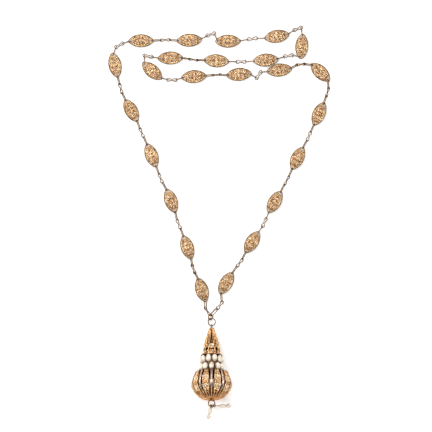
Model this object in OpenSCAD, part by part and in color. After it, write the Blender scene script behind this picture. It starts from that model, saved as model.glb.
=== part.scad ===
// A sautoir necklace lying folded on a table: twenty-four pierced navette plaques joined by
// fine wire links, and a pendant of a pierced cone, two rows of pearls and a pierced bulb with
// two pearl drops. The table is z = 0, and the pendant points along -Y.

/* [Plaques] */
// Length of a plaque over its end lugs
plaque_length = 18.4; // [18.3:0.1:18.5]
// Width of a plaque
plaque_width = 9.4; // [9.2:0.1:9.6]
// Thickness of a plaque over both domed faces
plaque_depth = 3.2; // [3.2:0.1:3.4]
// Wall of the hollow plaque
plaque_wall = 0.5; // [0.4:0.05:0.6]
// Solid border round the plaque
plaque_border = 0.8; // [0.7:0.05:0.9]
// Thickness of the flat lug at each end
lug_thickness = 0.6; // [0.5:0.05:0.6]
// Radius of the rounded lug
lug_radius = 1.75; // [1.75:0.05:1.8]
// Diameter of the hole in the lug
lug_hole = 1.76; // [1.74:0.02:1.8]
// Diameter of each round piercing in the filigree
piercing = 1.7; // [1.4:0.1:1.8]

/* [Chain] */
// Wire diameter of the links
link_wire = 0.6; // [0.58:0.02:0.6]
// Length of a long link over its wire
long_link_length = 7.6; // [7.6:0.1:7.7]
// Width of a long link over its wire
long_link_width = 2.9; // [2.8:0.1:3]
// Distance between the eyes of a figure-eight link
eye_spacing = 5; // [4.9:0.1:5]
// Diameter of an eye over its wire
eye_diameter = 3.2; // [3.2:0.1:3.3]

/* [Rings] */
// Outside diameter of the small ring where the two strands meet
junction_diameter = 4.6; // [4.6:0.1:4.7]
// Wire of the small ring
junction_wire = 0.8; // [0.7:0.05:0.8]
// Outside diameter of the ring that holds the pendant
hanger_diameter = 6.06; // [6:0.02:6.1]
// Wire of the ring that holds the pendant
hanger_wire = 0.66; // [0.6:0.02:0.66]

/* [Pendant] */
// Diameter of the bulb
bulb_diameter = 29.6; // [29.2:0.1:29.8]
// Height of the bulb above its widest line
bulb_rise = 8.8; // [8.6:0.1:9]
// Depth of the bulb below its widest line
bulb_fall = 10.8; // [10.6:0.1:11]
// Wall of the pierced bulb and cone
shell_wall = 0.7; // [0.6:0.05:0.8]
// Width of the slots beside the bulb's ribs
bulb_slot = 1.3; // [1.1:0.1:1.4]
// Length of the cone
cone_length = 20.4; // [20.2:0.1:20.5]
// Diameter of the cone where it meets the pearls
cone_base = 13.2; // [13:0.1:13.4]
// Diameter of the cone at its tip
cone_tip = 4; // [3.8:0.1:4.2]
// Angle between the pendant's axis and the table
pendant_lean = 17.1; // [17.1:0.1:17.2]

/* [Pearls] */
// Diameter of the pearls in the two rows
row_pearl_width = 3.7; // [3.5:0.1:3.8]
// Length of an upright pearl in the upper row
upper_pearl_length = 5.5; // [5.3:0.1:5.5]
// Length of a leaning pearl in the lower row
lower_pearl_length = 5.6; // [5.4:0.1:5.7]
// Length of the long pearl on a drop
drop_pearl_length = 6.2; // [6:0.1:6.3]
// Width of the long pearl on a drop
drop_pearl_width = 3.2; // [3:0.1:3.3]
// Diameter of the round pearl at the end of a drop
end_pearl_diameter = 3.3; // [3.2:0.1:3.4]

/* [Hidden] */
// Columns: across and along the table, heading of the chain through the plaque, and then for
// the three links after it the turn of the middle link from the straight line, the bow of the
// two long links, and the rolls of the long links and of the middle link.
CHAIN = [
    [-12.7, -48.5, 108.6, 0, 8, 68, 144],
    [-23.2, -17.9, 109.2, 4, 3, 68, 144],
    [-34.9, 15.6, 110.7, -3, 4, 68, 144],
    [-48.9, 48.3, 112.0, 1, 2, 68, 144],
    [-63.5, 80.6, 119.5, -4, 5, 68, 144],
    [-75.2, 113.3, 101.8, -9, 25, 90, 14],
    [-56.5, 130.8, 0.8, 3, 4, 68, 144],
    [-21.7, 131.2, 3.0, 24, 47, 90, 0],
    [6.1, 130.5, 0.8, 2, 4, 90, 8],
    [41.3, 134.0, 9.5, 25, 56, 90, 0],
    [59.2, 126.7, -94.2, 3, -14, 90, 6],
    [33.3, 116.9, 184.4, -2, 3, 90, 10],
    [-2.2, 116.4, 176.5, -3, 4, 68, 126],
    [-35.4, 118.4, 181.6, -31, -49, 90, 0],
    [-48.5, 109.1, -40.1, -2, -16, 90, 16],
    [-18.4, 105.0, 4.0, 3, 5, 68, 126],
    [14.0, 106.6, 5.1, 50, -18, 90, 20],
    [43.1, 109.7, 7.5, -3, 17, 70, 136],
    [72.6, 108.2, -43.2, -5, 12, 69, 132],
    [71.6, 78.2, -114.1, 3, 2, 68, 144],
    [56.1, 46.2, -116.9, -2, 2, 68, 126],
    [39.7, 14.8, -120.7, 4, 6, 90, 12],
    [23.4, -14.1, -122.1, -4, 4, 68, 144],
    [4.8, -43.6, -120.3, 0, 0, 0, 0],
];
ACROSS = 0;
ALONG = 1;
HEADING = 2;
TURN = 3;
BOW = 4;
LONG_ROLL = 5;
EIGHT_ROLL = 6;
LEFT_COUNT = 12; // plaques whose following links belong to the left part of the chain

GOLD = [0.80, 0.62, 0.36];
LINK_GOLD = [0.62, 0.54, 0.42];
PEARL = [0.95, 0.92, 0.87];

FINE = 256; // steps round the large arcs of the domes
ROUND = 64; // steps round wires and turned parts
GAP = 0.12; // clearance between pieces that touch in the real necklace

// Plaque outline: two side arcs that run smoothly into the two rounded lugs
hole_reach = plaque_length / 2 - lug_radius;
side_radius = (pow(hole_reach, 2) + pow(plaque_width / 2, 2) - pow(lug_radius, 2))
    / (plaque_width - 2 * lug_radius);
side_centre = side_radius - plaque_width / 2;
tip_angle = atan2(side_centre, hole_reach);
TIP_STEPS = 6;
SIDE_STEPS = 12;
lug_land = 0.4; // flat metal between a lug's hole and the domed part
lug_start = hole_reach - lug_hole / 2 - lug_land;
// Middles of the four piercings of a plaque
PIERCINGS = [[2.7, 1.5], [2.7, -1.5], [-2.7, 1.5], [-2.7, -1.5]];
dome_across = 12.7; // radius of the dome across the plaque
dome_along = 47.5; // radius of the dome along the plaque
chain_height = plaque_depth / 2; // the plaques rest on the table

layout_shift = [0.14, -0.17]; // puts the middle of the whole necklace at the origin

// Links
wire = link_wire / 2;
WIRE_SIDES = 5;
END_STEPS = 6; // segments round one end of a long link
EYE_STEP = 30; // angle between the points round an eye
long_length = long_link_length - link_wire; // between the wire's centres at the two ends
long_half_width = (long_link_width - link_wire) / 2;
eye_radius = (eye_diameter - link_wire) / 2;
waist = wire + GAP / 2; // half the distance between the two wires at an eight's waist
hole_play = 0.36; // a pulled link's end lies this far past the middle of a lug's hole
eye_play = 0.56; // and this far short of the middle of an eye
play = hole_play + eye_play;

// Pendant
bulb_radius = bulb_diameter / 2;
bulb_height = 14.36; // of the bulb's middle above the table
bulb_middle = lifted([-5.7, -116.1] + layout_shift, bulb_height);
FRONT = -90; // the side of the pendant that faces up
REPEATS = 10; // ribs, strips and pearls round the pendant
STRIP = 360 / REPEATS;
spindle_radius = 0.6;
gallery_top = 21.4;
gallery_bottom = bulb_rise + GAP;
disc = 0.4; // thickness of the gallery's discs
cone_start = gallery_top + GAP;
cone_end = cone_start + cone_length;
eyelet_radius = 1;
eyelet_wire = 0.3;
eyelet_stem = 0.4; // rod that shows above the cone
eyelet_lift = eyelet_radius + eyelet_wire + GAP + eyelet_stem;
foot_ring_radius = 2.3;
foot_ring_wire = 0.4;
rod_below = 0.9; // rod that shows between the bulb and the foot ring
pin_radius = 0.25;
pearl_bore = pin_radius + GAP;
head_radius = 0.42; // of the flattened end of a post or pin
head_thickness = 0.2;
CUT = 1; // how far a cut reaches past the solid

function unit(v) = v / norm(v);
function bearing(a) = [cos(a), sin(a)];
function lifted(p, z) = [p[0], p[1], z];
function flat(p) = [p[0], p[1]];

function centre_of(row) = [row[ACROSS], row[ALONG]] + layout_shift;
function lug_point(row, end) = centre_of(row) + end * hole_reach * bearing(row[HEADING]);

// Navette outline, moved inwards by inset
function navette(inset) = concat(
    [for (k = [0:TIP_STEPS]) let (a = tip_angle * (2 * k / TIP_STEPS - 1))
        [hole_reach, 0] + (lug_radius - inset) * bearing(a)],
    [for (k = [1:SIDE_STEPS - 1]) let (a = tip_angle + (180 - 2 * tip_angle) * k / SIDE_STEPS)
        [0, -side_centre] + (side_radius - inset) * bearing(a)],
    [for (k = [0:TIP_STEPS]) let (a = 180 + tip_angle * (2 * k / TIP_STEPS - 1))
        [-hole_reach, 0] + (lug_radius - inset) * bearing(a)],
    [for (k = [1:SIDE_STEPS - 1]) let (a = 180 + tip_angle + (180 - 2 * tip_angle) * k / SIDE_STEPS)
        [0, side_centre] + (side_radius - inset) * bearing(a)]
);

// Closed centre lines of the two kinds of link, counterclockwise
function oval_line(length, half_width) = let (straight = length / 2 - half_width) concat(
    [for (k = [0:END_STEPS]) [straight, 0] + half_width * bearing(180 * k / END_STEPS - 90)],
    [for (k = [0:END_STEPS]) [-straight, 0] + half_width * bearing(180 * k / END_STEPS + 90)]
);
function eight_line() = concat(
    [for (a = [-150:EYE_STEP:150]) [eye_spacing / 2, 0] + eye_radius * bearing(a)],
    [[0, waist]],
    [for (a = [30:EYE_STEP:330]) [-eye_spacing / 2, 0] + eye_radius * bearing(a)],
    [[0, -waist]]
);

// A link is its centre line laid in the plane of two directions: [line, centre, along, across]
function roll_across(along, roll) = let (
    side = unit([-along[1], along[0], 0]),
    up = cross(along, side)
) cos(roll) * side + sin(roll) * up;
function posed(line, middle, along, roll) = [line, middle, along, roll_across(along, roll)];

// Points of one link's wire, a ring of WIRE_SIDES points at each point of its centre line
function link_points(link) = let (
    line = link[0], n = len(line), across = link[3], through = cross(link[2], across)
) [for (i = [0:n - 1]) let (
        before = unit(line[i] - line[(i + n - 1) % n]),
        after = unit(line[(i + 1) % n] - line[i]),
        way = unit(before + after),
        outward = way[1] * link[2] - way[0] * across,
        at = link[1] + line[i][0] * link[2] + line[i][1] * across
    ) for (j = [0:WIRE_SIDES - 1]) let (a = 360 * j / WIRE_SIDES)
        at + wire * (cos(a) * outward + sin(a) * through)];
function link_faces(n, first) = [for (i = [0:n - 1]) for (j = [0:WIRE_SIDES - 1]) let (
        i2 = (i + 1) % n, j2 = (j + 1) % WIRE_SIDES,
        a = first + i * WIRE_SIDES + j, b = first + i2 * WIRE_SIDES + j,
        c = first + i2 * WIRE_SIDES + j2, d = first + i * WIRE_SIDES + j2
    ) each [[a, c, b], [a, d, c]]];
function first_point(links, k) = k == 0 ? 0
    : first_point(links, k - 1) + WIRE_SIDES * len(links[k - 1][0]);
module links_solid(links) {
    points = [for (k = links) each link_points(k)];
    faces = [for (k = [0:len(links) - 1]) each link_faces(len(links[k][0]), first_point(links, k))];
    polyhedron(points = points, faces = faces, convexity = 10);
}

// A long link from one joint to another, with its play shared out in the ratio given
function long_link(from, to, roll, share = hole_play / play) = let (
    along = unit(to - from), spare = long_length - norm(to - from)
) posed(oval_line(long_length, long_half_width),
    from + along * (long_length / 2 - spare * share), along, roll);
function eight_link(from, to, roll) = posed(eight_line(), (from + to) / 2, unit(to - from), roll);

// The joints between two plaques: lug, first eye, second eye, lug
function joints(row, next) = let (
    from = lug_point(row, 1), to = lug_point(next, -1),
    straight = atan2(to[1] - from[1], to[0] - from[0]),
    middle = eye_spacing * bearing(straight + row[TURN]),
    rest = to - from - middle,
    way = atan2(rest[1], rest[0]),
    reach = norm(rest) / 2 / cos(row[BOW]),
    first_eye = from + reach * bearing(way + row[BOW])
) assert(abs(reach - long_length) <= play, str("the links after ", centre_of(row), " don't fit: ", reach))
    [lifted(from, chain_height), lifted(first_eye, chain_height),
        lifted(first_eye + middle, chain_height), lifted(to, chain_height)];
function gap_links(i) = let (row = CHAIN[i], p = joints(row, CHAIN[i + 1])) [
    long_link(p[0], p[1], row[LONG_ROLL]),
    eight_link(p[1], p[2], row[EIGHT_ROLL]),
    long_link(p[3], p[2], 180 - row[LONG_ROLL])
];

// Rings that join the two strands and the pendant
function pendant_point(p) = bulb_middle + [
    p[0],
    p[2] * cos(pendant_lean) - p[1] * sin(pendant_lean),
    -p[2] * sin(pendant_lean) - p[1] * cos(pendant_lean)
];
hanger_radius = (hanger_diameter - hanger_wire) / 2;
junction_radius = (junction_diameter - junction_wire) / 2;
eyelet_middle = pendant_point([0, 0, cone_end + eyelet_lift]);
hanger_offset = [0.1, hanger_radius + 0.1, 0]; // from the eyelet's middle
hanger_middle = eyelet_middle + hanger_offset;
hanger_roll = -15;
junction_offset = [-0.9, 3.48, 0.2]; // from the middle of the ring that holds the pendant
junction_middle = hanger_middle + junction_offset;
junction_roll = 38;
function junction_wire_point(a) = junction_middle + junction_radius * [
    cos(a) * cos(junction_roll), sin(a), -cos(a) * sin(junction_roll)
];

// Last links of the two strands: where each holds the small ring, and how each link is rolled
ring_hold = wire + junction_wire / 2 + GAP; // a link's end lies this far past the ring's wire
left_hook_angle = 116;
right_hook_angle = 56;
left_long_roll = 133;
left_eight_roll = 50;
right_long_roll = 64;
right_eight_roll = -29;
right_end_roll = 39;
right_turn = -14; // of the right tail's figure-eight link
joint_rise = 0.2; // of the left tail's joint above the chain
left_slack = 0.08; // of each tail's links, short of their full reach
right_slack = 0.14;
first_slack = 0.4;
left_hook = junction_wire_point(left_hook_angle);
right_hook = junction_wire_point(right_hook_angle);
eight_to_ring = eye_spacing + eye_radius - ring_hold;
function third_corner(from, to, first, second, side) = let (
    d = norm(to - from),
    a = acos((first * first + d * d - second * second) / (2 * first * d)),
    way = atan2(to[1] - from[1], to[0] - from[0])
) from + first * bearing(way + side * a);
left_lug = lug_point(CHAIN[0], -1);
left_first = long_length - play + left_slack;
left_eye = third_corner(left_lug, flat(left_hook), left_first, eight_to_ring, -1);
left_start = lifted(left_lug, chain_height);
left_joint = lifted(left_eye, chain_height + joint_rise);
left_end = left_joint + eye_spacing * unit(left_hook - left_joint);
right_lug = lug_point(CHAIN[len(CHAIN) - 1], 1);
right_start = lifted(right_lug, chain_height);
right_last = long_length + eye_play - ring_hold - right_slack;
right_first = long_length + play - first_slack;
right_way = atan2(right_hook[1] - right_lug[1], right_hook[0] - right_lug[0]);
right_eight = eye_spacing * bearing(right_way + right_turn);
right_eye = third_corner(right_lug, flat(right_hook) - right_eight, right_first, right_last, 1);
right_joint = lifted(right_eye, chain_height);
right_end = right_joint + lifted(right_eight, 0);
left_tail = [
    long_link(left_start, left_joint, left_long_roll),
    eight_link(left_joint, left_end, left_eight_roll)
];
right_tail = [
    long_link(right_start, right_joint, right_long_roll),
    eight_link(right_joint, right_end, right_eight_roll),
    posed(oval_line(long_length, long_half_width),
        right_hook + unit(right_hook - right_end) * (ring_hold - long_length / 2),
        unit(right_hook - right_end), right_end_roll)
];

// Outline of the bulb, and of the cone, as a radius at each height along the pendant's axis
shoulder_height = 11.4; // where the bulb has lost this share of its radius
shoulder_share = 0.284;
shoulder_power = 1.32;
closing_depth = 11.7; // where the bulb's lower curve would close
closing_power = 1.85;
cone_power = 1.22;
function bulb_outline(w) = w > 0
    ? bulb_radius * (1 - shoulder_share * pow(w / shoulder_height, shoulder_power))
    : bulb_radius * pow(1 - pow(-w / closing_depth, closing_power), 1 / closing_power);
function cone_outline(w) = let (u = (cone_end - w) / cone_length)
    cone_tip / 2 + (cone_base - cone_tip) / 2 * pow(sin(90 * u), cone_power);

// Turned profile of a drilled pearl, lying along Z
PEARL_STEPS = 10;
module pearl(length, width) {
    start = asin(pearl_bore / (width / 2));
    rotate_extrude($fn = ROUND)
        polygon([for (k = [0:PEARL_STEPS]) let (a = start + (180 - 2 * start) * k / PEARL_STEPS)
            [width / 2 * sin(a), length / 2 * cos(a)]]);
}

module ring(radius, thickness) rotate_extrude($fn = ROUND)
    translate([radius, 0]) circle(thickness, $fn = ROUND);

// Turns Z to a direction and moves to a point
module aimed(at, way) translate(at)
    rotate([0, acos(way[2] / norm(way)), atan2(way[1], way[0])]) children();

module in_pendant() translate(bulb_middle) rotate([-90 - pendant_lean, 0, 0]) children();
module around(offset) for (k = [0:REPEATS - 1]) rotate([0, 0, FRONT + offset + k * STRIP]) children();

// One domed face's solid of revolution, reaching down past the other face
module dome(inset) {
    sweep = 30;
    translate([0, 0, plaque_depth / 2 - dome_along]) rotate([90, 0, 0])
        rotate([0, 0, 90 - sweep / 2]) rotate_extrude(angle = sweep, $fn = FINE)
            translate([dome_along - dome_across, 0]) circle(dome_across - inset, $fn = FINE);
}
module pillow(inset, border) intersection() {
    linear_extrude(plaque_depth + CUT, center = true) polygon(navette(border));
    dome(inset);
    mirror([0, 0, 1]) dome(inset);
}

module plaque_body() difference() {
    pillow(0, 0);
    intersection() {
        pillow(plaque_wall, plaque_border);
        cube([2 * (lug_start - plaque_wall), plaque_width, plaque_depth], center = true);
    }
    for (end = [-1, 1]) {
        translate([end * hole_reach, 0, -plaque_depth])
            cylinder(d = lug_hole, h = 2 * plaque_depth, $fn = ROUND);
        for (face = [-1, 1])
            translate([end * (lug_start + lug_radius * 2), 0, face * (lug_thickness + plaque_depth) / 2])
                cube([lug_radius * 4, plaque_width, plaque_depth], center = true);
    }
    for (at = PIERCINGS) translate(lifted(at, -plaque_depth))
        cylinder(d = piercing, h = 2 * plaque_depth, $fn = ROUND);
}

module plaque(number) {
    row = CHAIN[number - 1];
    color(GOLD) translate(lifted(centre_of(row), chain_height)) rotate([0, 0, row[HEADING]])
        plaque_body();
}

module chain_links_left() color(LINK_GOLD)
    links_solid(concat(left_tail, [for (i = [0:LEFT_COUNT - 1]) each gap_links(i)]));

module chain_links_right() color(LINK_GOLD)
    links_solid(concat([for (i = [LEFT_COUNT:len(CHAIN) - 2]) each gap_links(i)], right_tail));

module junction_ring() color(LINK_GOLD)
    translate(junction_middle) rotate([0, junction_roll, 0]) ring(junction_radius, junction_wire / 2);

module hanger_ring() color(LINK_GOLD)
    translate(hanger_middle) rotate([0, hanger_roll, 0]) ring(hanger_radius, hanger_wire / 2);

// Rod through the pendant with an eyelet above the cone and a ring below the bulb
foot_ring_middle = bulb_fall + rod_below + foot_ring_radius;
module spindle() color(GOLD) in_pendant() {
    rod_bottom = -bulb_fall - rod_below;
    translate([0, 0, rod_bottom])
        cylinder(r = spindle_radius, h = cone_end + eyelet_stem + 2 * GAP + eyelet_wire - rod_bottom,
            $fn = ROUND);
    translate([0, 0, cone_end + eyelet_lift]) rotate([0, 90, 0]) ring(eyelet_radius, eyelet_wire);
    translate([0, 0, -foot_ring_middle]) rotate([90, 0, 0]) ring(foot_ring_radius, foot_ring_wire);
}

CONE_STEPS = 10;
CONE_REPEATS = 5;
// Columns: turn from the front, height of the middle above the cone's base, length, half width,
// and the slope of the cone's wall there
CONE_OPENINGS = [
    [36, 3.7, 3.4, 1.2, -5],
    [0, 13.9, 6.2, 0.45, -18],
];
module cone_opening(opening)
    translate([spindle_radius + CUT, 0, cone_start + opening[1]]) rotate([0, 90 + opening[4], 0])
        linear_extrude(cone_base) polygon(oval_line(opening[2], opening[3]));
module cone() color(GOLD) in_pendant() difference() {
    heights = [for (k = [0:CONE_STEPS]) cone_start + cone_length * k / CONE_STEPS];
    rotate_extrude($fn = ROUND) polygon(concat(
        [for (w = heights) [cone_outline(w), w]],
        [[spindle_radius + GAP, cone_end], [spindle_radius + GAP, cone_end - shell_wall]],
        [for (k = [CONE_STEPS - 1:-1:0]) [cone_outline(heights[k]) - shell_wall, heights[k]]]
    ));
    for (opening = CONE_OPENINGS, k = [0:CONE_REPEATS - 1])
        rotate([0, 0, FRONT + opening[0] + k * 360 / CONE_REPEATS]) cone_opening(opening);
}

// Two discs on a tube, with a post through each pearl
tube_radius = 4.6;
upper_row = 7.2; // distance of the upright pearls from the axis
lower_row = 7.75; // distance of the middle of the leaning pearls from the axis
lower_lean = 16;
lean_room = 0.1; // lifts the leaning pearls clear of the lower disc
upper_disc = upper_row + 0.6;
lower_disc = lower_row + 1.4;
upper_middle = gallery_top - disc - GAP - upper_pearl_length / 2;
lower_middle = gallery_bottom + disc + GAP + lower_pearl_length / 2 * cos(lower_lean) + lean_room;
post_length = upper_pearl_length + 3 * GAP;
lower_post_root = 0.35; // length of a leaning post inside its disc
lower_post_end = 0.15; // and past its pearl
module post(length) {
    cylinder(r = pin_radius, h = length, $fn = ROUND);
    translate([0, 0, length - head_thickness / 2])
        cylinder(r = head_radius, h = head_thickness, $fn = ROUND);
}
module pearl_gallery() color(GOLD) in_pendant() difference() {
    union() {
        translate([0, 0, gallery_bottom])
            cylinder(r = tube_radius, h = gallery_top - gallery_bottom, $fn = ROUND);
        translate([0, 0, gallery_top - disc]) cylinder(r = upper_disc, h = disc, $fn = ROUND);
        translate([0, 0, gallery_bottom]) cylinder(r = lower_disc, h = disc, $fn = ROUND);
        around(STRIP / 2) translate([upper_row, 0, gallery_top - disc / 2]) rotate([180, 0, 0])
            post(post_length + disc / 2);
        around(0) translate([lower_row, 0, lower_middle]) rotate([0, -lower_lean, 0])
            translate([0, 0, -lower_pearl_length / 2 - GAP - lower_post_root])
                post(lower_pearl_length + 2 * GAP + lower_post_root + lower_post_end);
    }
    translate([0, 0, gallery_bottom - CUT])
        cylinder(r = tube_radius - shell_wall, h = gallery_top - gallery_bottom + 2 * CUT, $fn = ROUND);
}

module upper_pearls() color(PEARL) in_pendant() around(STRIP / 2)
    translate([upper_row, 0, upper_middle]) pearl(upper_pearl_length, row_pearl_width);

module lower_pearls() color(PEARL) in_pendant() around(0)
    translate([lower_row, 0, lower_middle]) rotate([0, -lower_lean, 0])
        pearl(lower_pearl_length, row_pearl_width);

// A slot on each side of every rib
slot_turn = 6; // of a slot from its rib's middle
slot_top = 7.6;
slot_bottom = -4.2;
BULB_STEPS = 14;
module bulb_slot_cut() translate([bulb_radius / 2, 0, (slot_top + slot_bottom) / 2])
    rotate([0, 90, 0]) linear_extrude(bulb_radius)
        polygon(oval_line(slot_top - slot_bottom, bulb_slot / 2));
module bulb() color(GOLD) in_pendant() difference() {
    heights = [for (k = [0:BULB_STEPS]) bulb_rise - k * (bulb_rise + bulb_fall) / BULB_STEPS];
    inner = 1 - shell_wall / bulb_fall;
    bore = spindle_radius + GAP;
    rotate_extrude($fn = ROUND) polygon(concat(
        [[bore, bulb_rise]],
        [for (w = heights) [bulb_outline(w), w]],
        [[bore, -bulb_fall], [bore, -bulb_fall * inner]],
        [for (k = [BULB_STEPS:-1:0]) [bulb_outline(heights[k]) - shell_wall, heights[k] * inner]],
        [[bore, bulb_rise * inner]]
    ));
    around(slot_turn) bulb_slot_cut();
    around(-slot_turn) bulb_slot_cut();
}

// Two links that hang from the foot ring, and the two drops that lean from the lower one
foot_hook_side = 0.4; // of the foot ring's lowest point
foot_hook = pendant_point([foot_hook_side, 0, -foot_ring_middle - foot_ring_radius]);
first_drop_top = foot_hook + [0, 0, wire + foot_ring_wire + GAP];
second_width = 1.7;
second_drop_top = first_drop_top - [0, 0, long_length - link_wire - GAP];
second_middle = second_drop_top - [0, 0, long_length / 2];
module drop_links() color(LINK_GOLD) links_solid([
    [oval_line(long_length, long_half_width), first_drop_top - [0, 0, long_length / 2],
        [0, 0, -1], [0, 1, 0]],
    [oval_line(long_length, second_width), second_middle, [0, 0, -1], [1, 0, 0]]
]);

pin_loop = 0.95;
pin_wire = 0.28;
loop_set = 0.15; // of a pin's loop past the lower link's wire
loop_bite = 0.1; // of the pin into its loop
pearl_rise = 0.05; // of a resting pearl above the table
head_bite = 0.02; // of the flattened end into its pin
// Columns: angle of the hold on the lower link, and where the end pearl rests
DROPS = [
    [-28, [6.5, -131.9]],
    [-118, [-7.9, -139.6]],
];
function drop_end(drop) = lifted(drop[1] + layout_shift, end_pearl_diameter / 2 + pearl_rise);
function hold_point(a) = second_middle + [
    second_width * cos(a), 0, second_width * sin(a) - long_length / 2 + second_width
];
function hold_way(a) = [-sin(a), 0, cos(a)];
function pin_length(drop) = norm(drop_end(drop) - hold_point(drop[0]));
module in_drop(drop) {
    at = hold_point(drop[0]);
    aimed(at, drop_end(drop) - at) children();
}
module drop_pin(drop) {
    at = hold_point(drop[0]);
    way = unit(drop_end(drop) - at);
    middle = at + way * loop_set;
    aimed(middle, cross(way, unit(cross(hold_way(drop[0]), way)))) ring(pin_loop, pin_wire);
    past_end = end_pearl_diameter / 2 + GAP;
    aimed(middle + way * (pin_loop - loop_bite), way)
        cylinder(r = pin_radius, h = pin_length(drop) - pin_loop + loop_bite - loop_set + past_end,
            $fn = ROUND);
    aimed(drop_end(drop) + way * (past_end - head_bite), way)
        cylinder(r = head_radius, h = head_thickness + head_bite, $fn = ROUND);
}
module drop_pins() color(LINK_GOLD) for (drop = DROPS) drop_pin(drop);

module drop_pearls() color(PEARL) for (drop = DROPS) in_drop(drop) {
    translate([0, 0, pin_length(drop)]) pearl(end_pearl_diameter, end_pearl_diameter);
    translate([0, 0, pin_length(drop) - end_pearl_diameter / 2 - GAP - drop_pearl_length / 2])
        pearl(drop_pearl_length, drop_pearl_width);
}

plaque(1);  // plaque_01
plaque(2);  // plaque_02
plaque(3);  // plaque_03
plaque(4);  // plaque_04
plaque(5);  // plaque_05
plaque(6);  // plaque_06
plaque(7);  // plaque_07
plaque(8);  // plaque_08
plaque(9);  // plaque_09
plaque(10);  // plaque_10
plaque(11);  // plaque_11
plaque(12);  // plaque_12
plaque(13);  // plaque_13
plaque(14);  // plaque_14
plaque(15);  // plaque_15
plaque(16);  // plaque_16
plaque(17);  // plaque_17
plaque(18);  // plaque_18
plaque(19);  // plaque_19
plaque(20);  // plaque_20
plaque(21);  // plaque_21
plaque(22);  // plaque_22
plaque(23);  // plaque_23
plaque(24);  // plaque_24
chain_links_left();
chain_links_right();
junction_ring();
hanger_ring();
spindle();
cone();
pearl_gallery();
upper_pearls();
lower_pearls();
bulb();
drop_links();
drop_pins();
drop_pearls();
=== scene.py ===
import math
from collections import namedtuple
from contextlib import contextmanager

import bmesh
import bpy
from bpy.props import FloatProperty, FloatVectorProperty, IntProperty, PointerProperty
from mathutils import Matrix, Vector


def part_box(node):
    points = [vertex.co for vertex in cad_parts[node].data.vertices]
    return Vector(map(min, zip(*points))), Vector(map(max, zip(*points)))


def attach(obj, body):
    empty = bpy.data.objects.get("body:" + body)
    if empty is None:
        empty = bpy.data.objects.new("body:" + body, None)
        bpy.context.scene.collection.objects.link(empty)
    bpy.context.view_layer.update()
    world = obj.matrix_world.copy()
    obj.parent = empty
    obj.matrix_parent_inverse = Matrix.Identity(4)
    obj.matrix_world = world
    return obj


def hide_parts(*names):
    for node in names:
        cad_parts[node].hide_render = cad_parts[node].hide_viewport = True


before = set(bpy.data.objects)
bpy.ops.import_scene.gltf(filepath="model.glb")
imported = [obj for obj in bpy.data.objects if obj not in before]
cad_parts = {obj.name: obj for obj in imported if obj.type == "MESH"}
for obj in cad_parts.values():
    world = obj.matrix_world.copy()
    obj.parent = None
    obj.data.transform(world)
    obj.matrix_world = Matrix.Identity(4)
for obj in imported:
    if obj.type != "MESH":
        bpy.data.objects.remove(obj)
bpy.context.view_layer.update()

bl_info = {
    "name": "Sautoir Necklace",
    "version": (1, 0, 0),
    "blender": (4, 5, 0),
    "location": "3D View > Sidebar > Sautoir",
    "description": "Dresses a laid-out sautoir: filigree plaques, wire links, pierced pendant, pearls",
    "category": "Object",
}

MM = 0.001
PLAQUES = [f"plaque_{n:02d}" for n in range(1, 25)]

# Finishes that one piece can hold, as a number on its faces
# EDGE is the plaques' outer edge, darkened with painted shade
# The dark finish is painted shade: under the plaques' wires, inside the pendant and round the bulb's top
WIRE, BAND, PAINTED_SHADE, COPPER, BRIGHT, PLATE, EDGE = range(7)

# Spacing of the points in mm: round circles and coils, along bars, and down the pendant
CIRCLE_STEP, COIL_STEP, BAR_STEP, MERIDIAN_STEP = 0.3, 0.28, 0.4, 0.7

Line = namedtuple("Line", "points thick closed finish", defaults=(False, WIRE))
Bead = namedtuple("Bead", "place size")


# Node trees

class Value:
    """One output socket. Arithmetic on it adds Math nodes to its tree."""

    def __init__(self, net, socket):
        self.net, self.socket = net, socket

    def math(self, operation, *operands):
        return self.net.add("ShaderNodeMath", dict(enumerate(operands)), operation=operation)

    def __add__(self, other):
        return self.math("ADD", self, other)

    def __radd__(self, other):
        return self.math("ADD", other, self)

    def __sub__(self, other):
        return self.math("SUBTRACT", self, other)

    def __rsub__(self, other):
        return self.math("SUBTRACT", other, self)

    def __mul__(self, other):
        return self.math("MULTIPLY", self, other)

    def __rmul__(self, other):
        return self.math("MULTIPLY", other, self)

    def sine(self):
        return self.math("SINE", self)

    def root(self):
        return self.math("SQRT", self)


class Net:
    """Adds nodes to a shader or geometry tree: the settings first, then values and links."""

    def __init__(self, tree):
        self.tree = tree

    def node(self, kind, inputs=None, **settings):
        node = self.tree.nodes.new(kind)
        for name, value in settings.items():
            setattr(node, name, value)
        self.fill(node, inputs or {})
        return node

    def add(self, kind, inputs=None, out=0, **settings):
        """Adds a node and gives one of its outputs."""
        return Value(self, self.node(kind, inputs, **settings).outputs[out])

    def fill(self, node, inputs):
        for name, value in inputs.items():
            for item in value if isinstance(value, list) else [value]:
                if isinstance(item, Value):
                    self.tree.links.new(item.socket, node.inputs[name])
                else:
                    node.inputs[name].default_value = item


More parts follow.
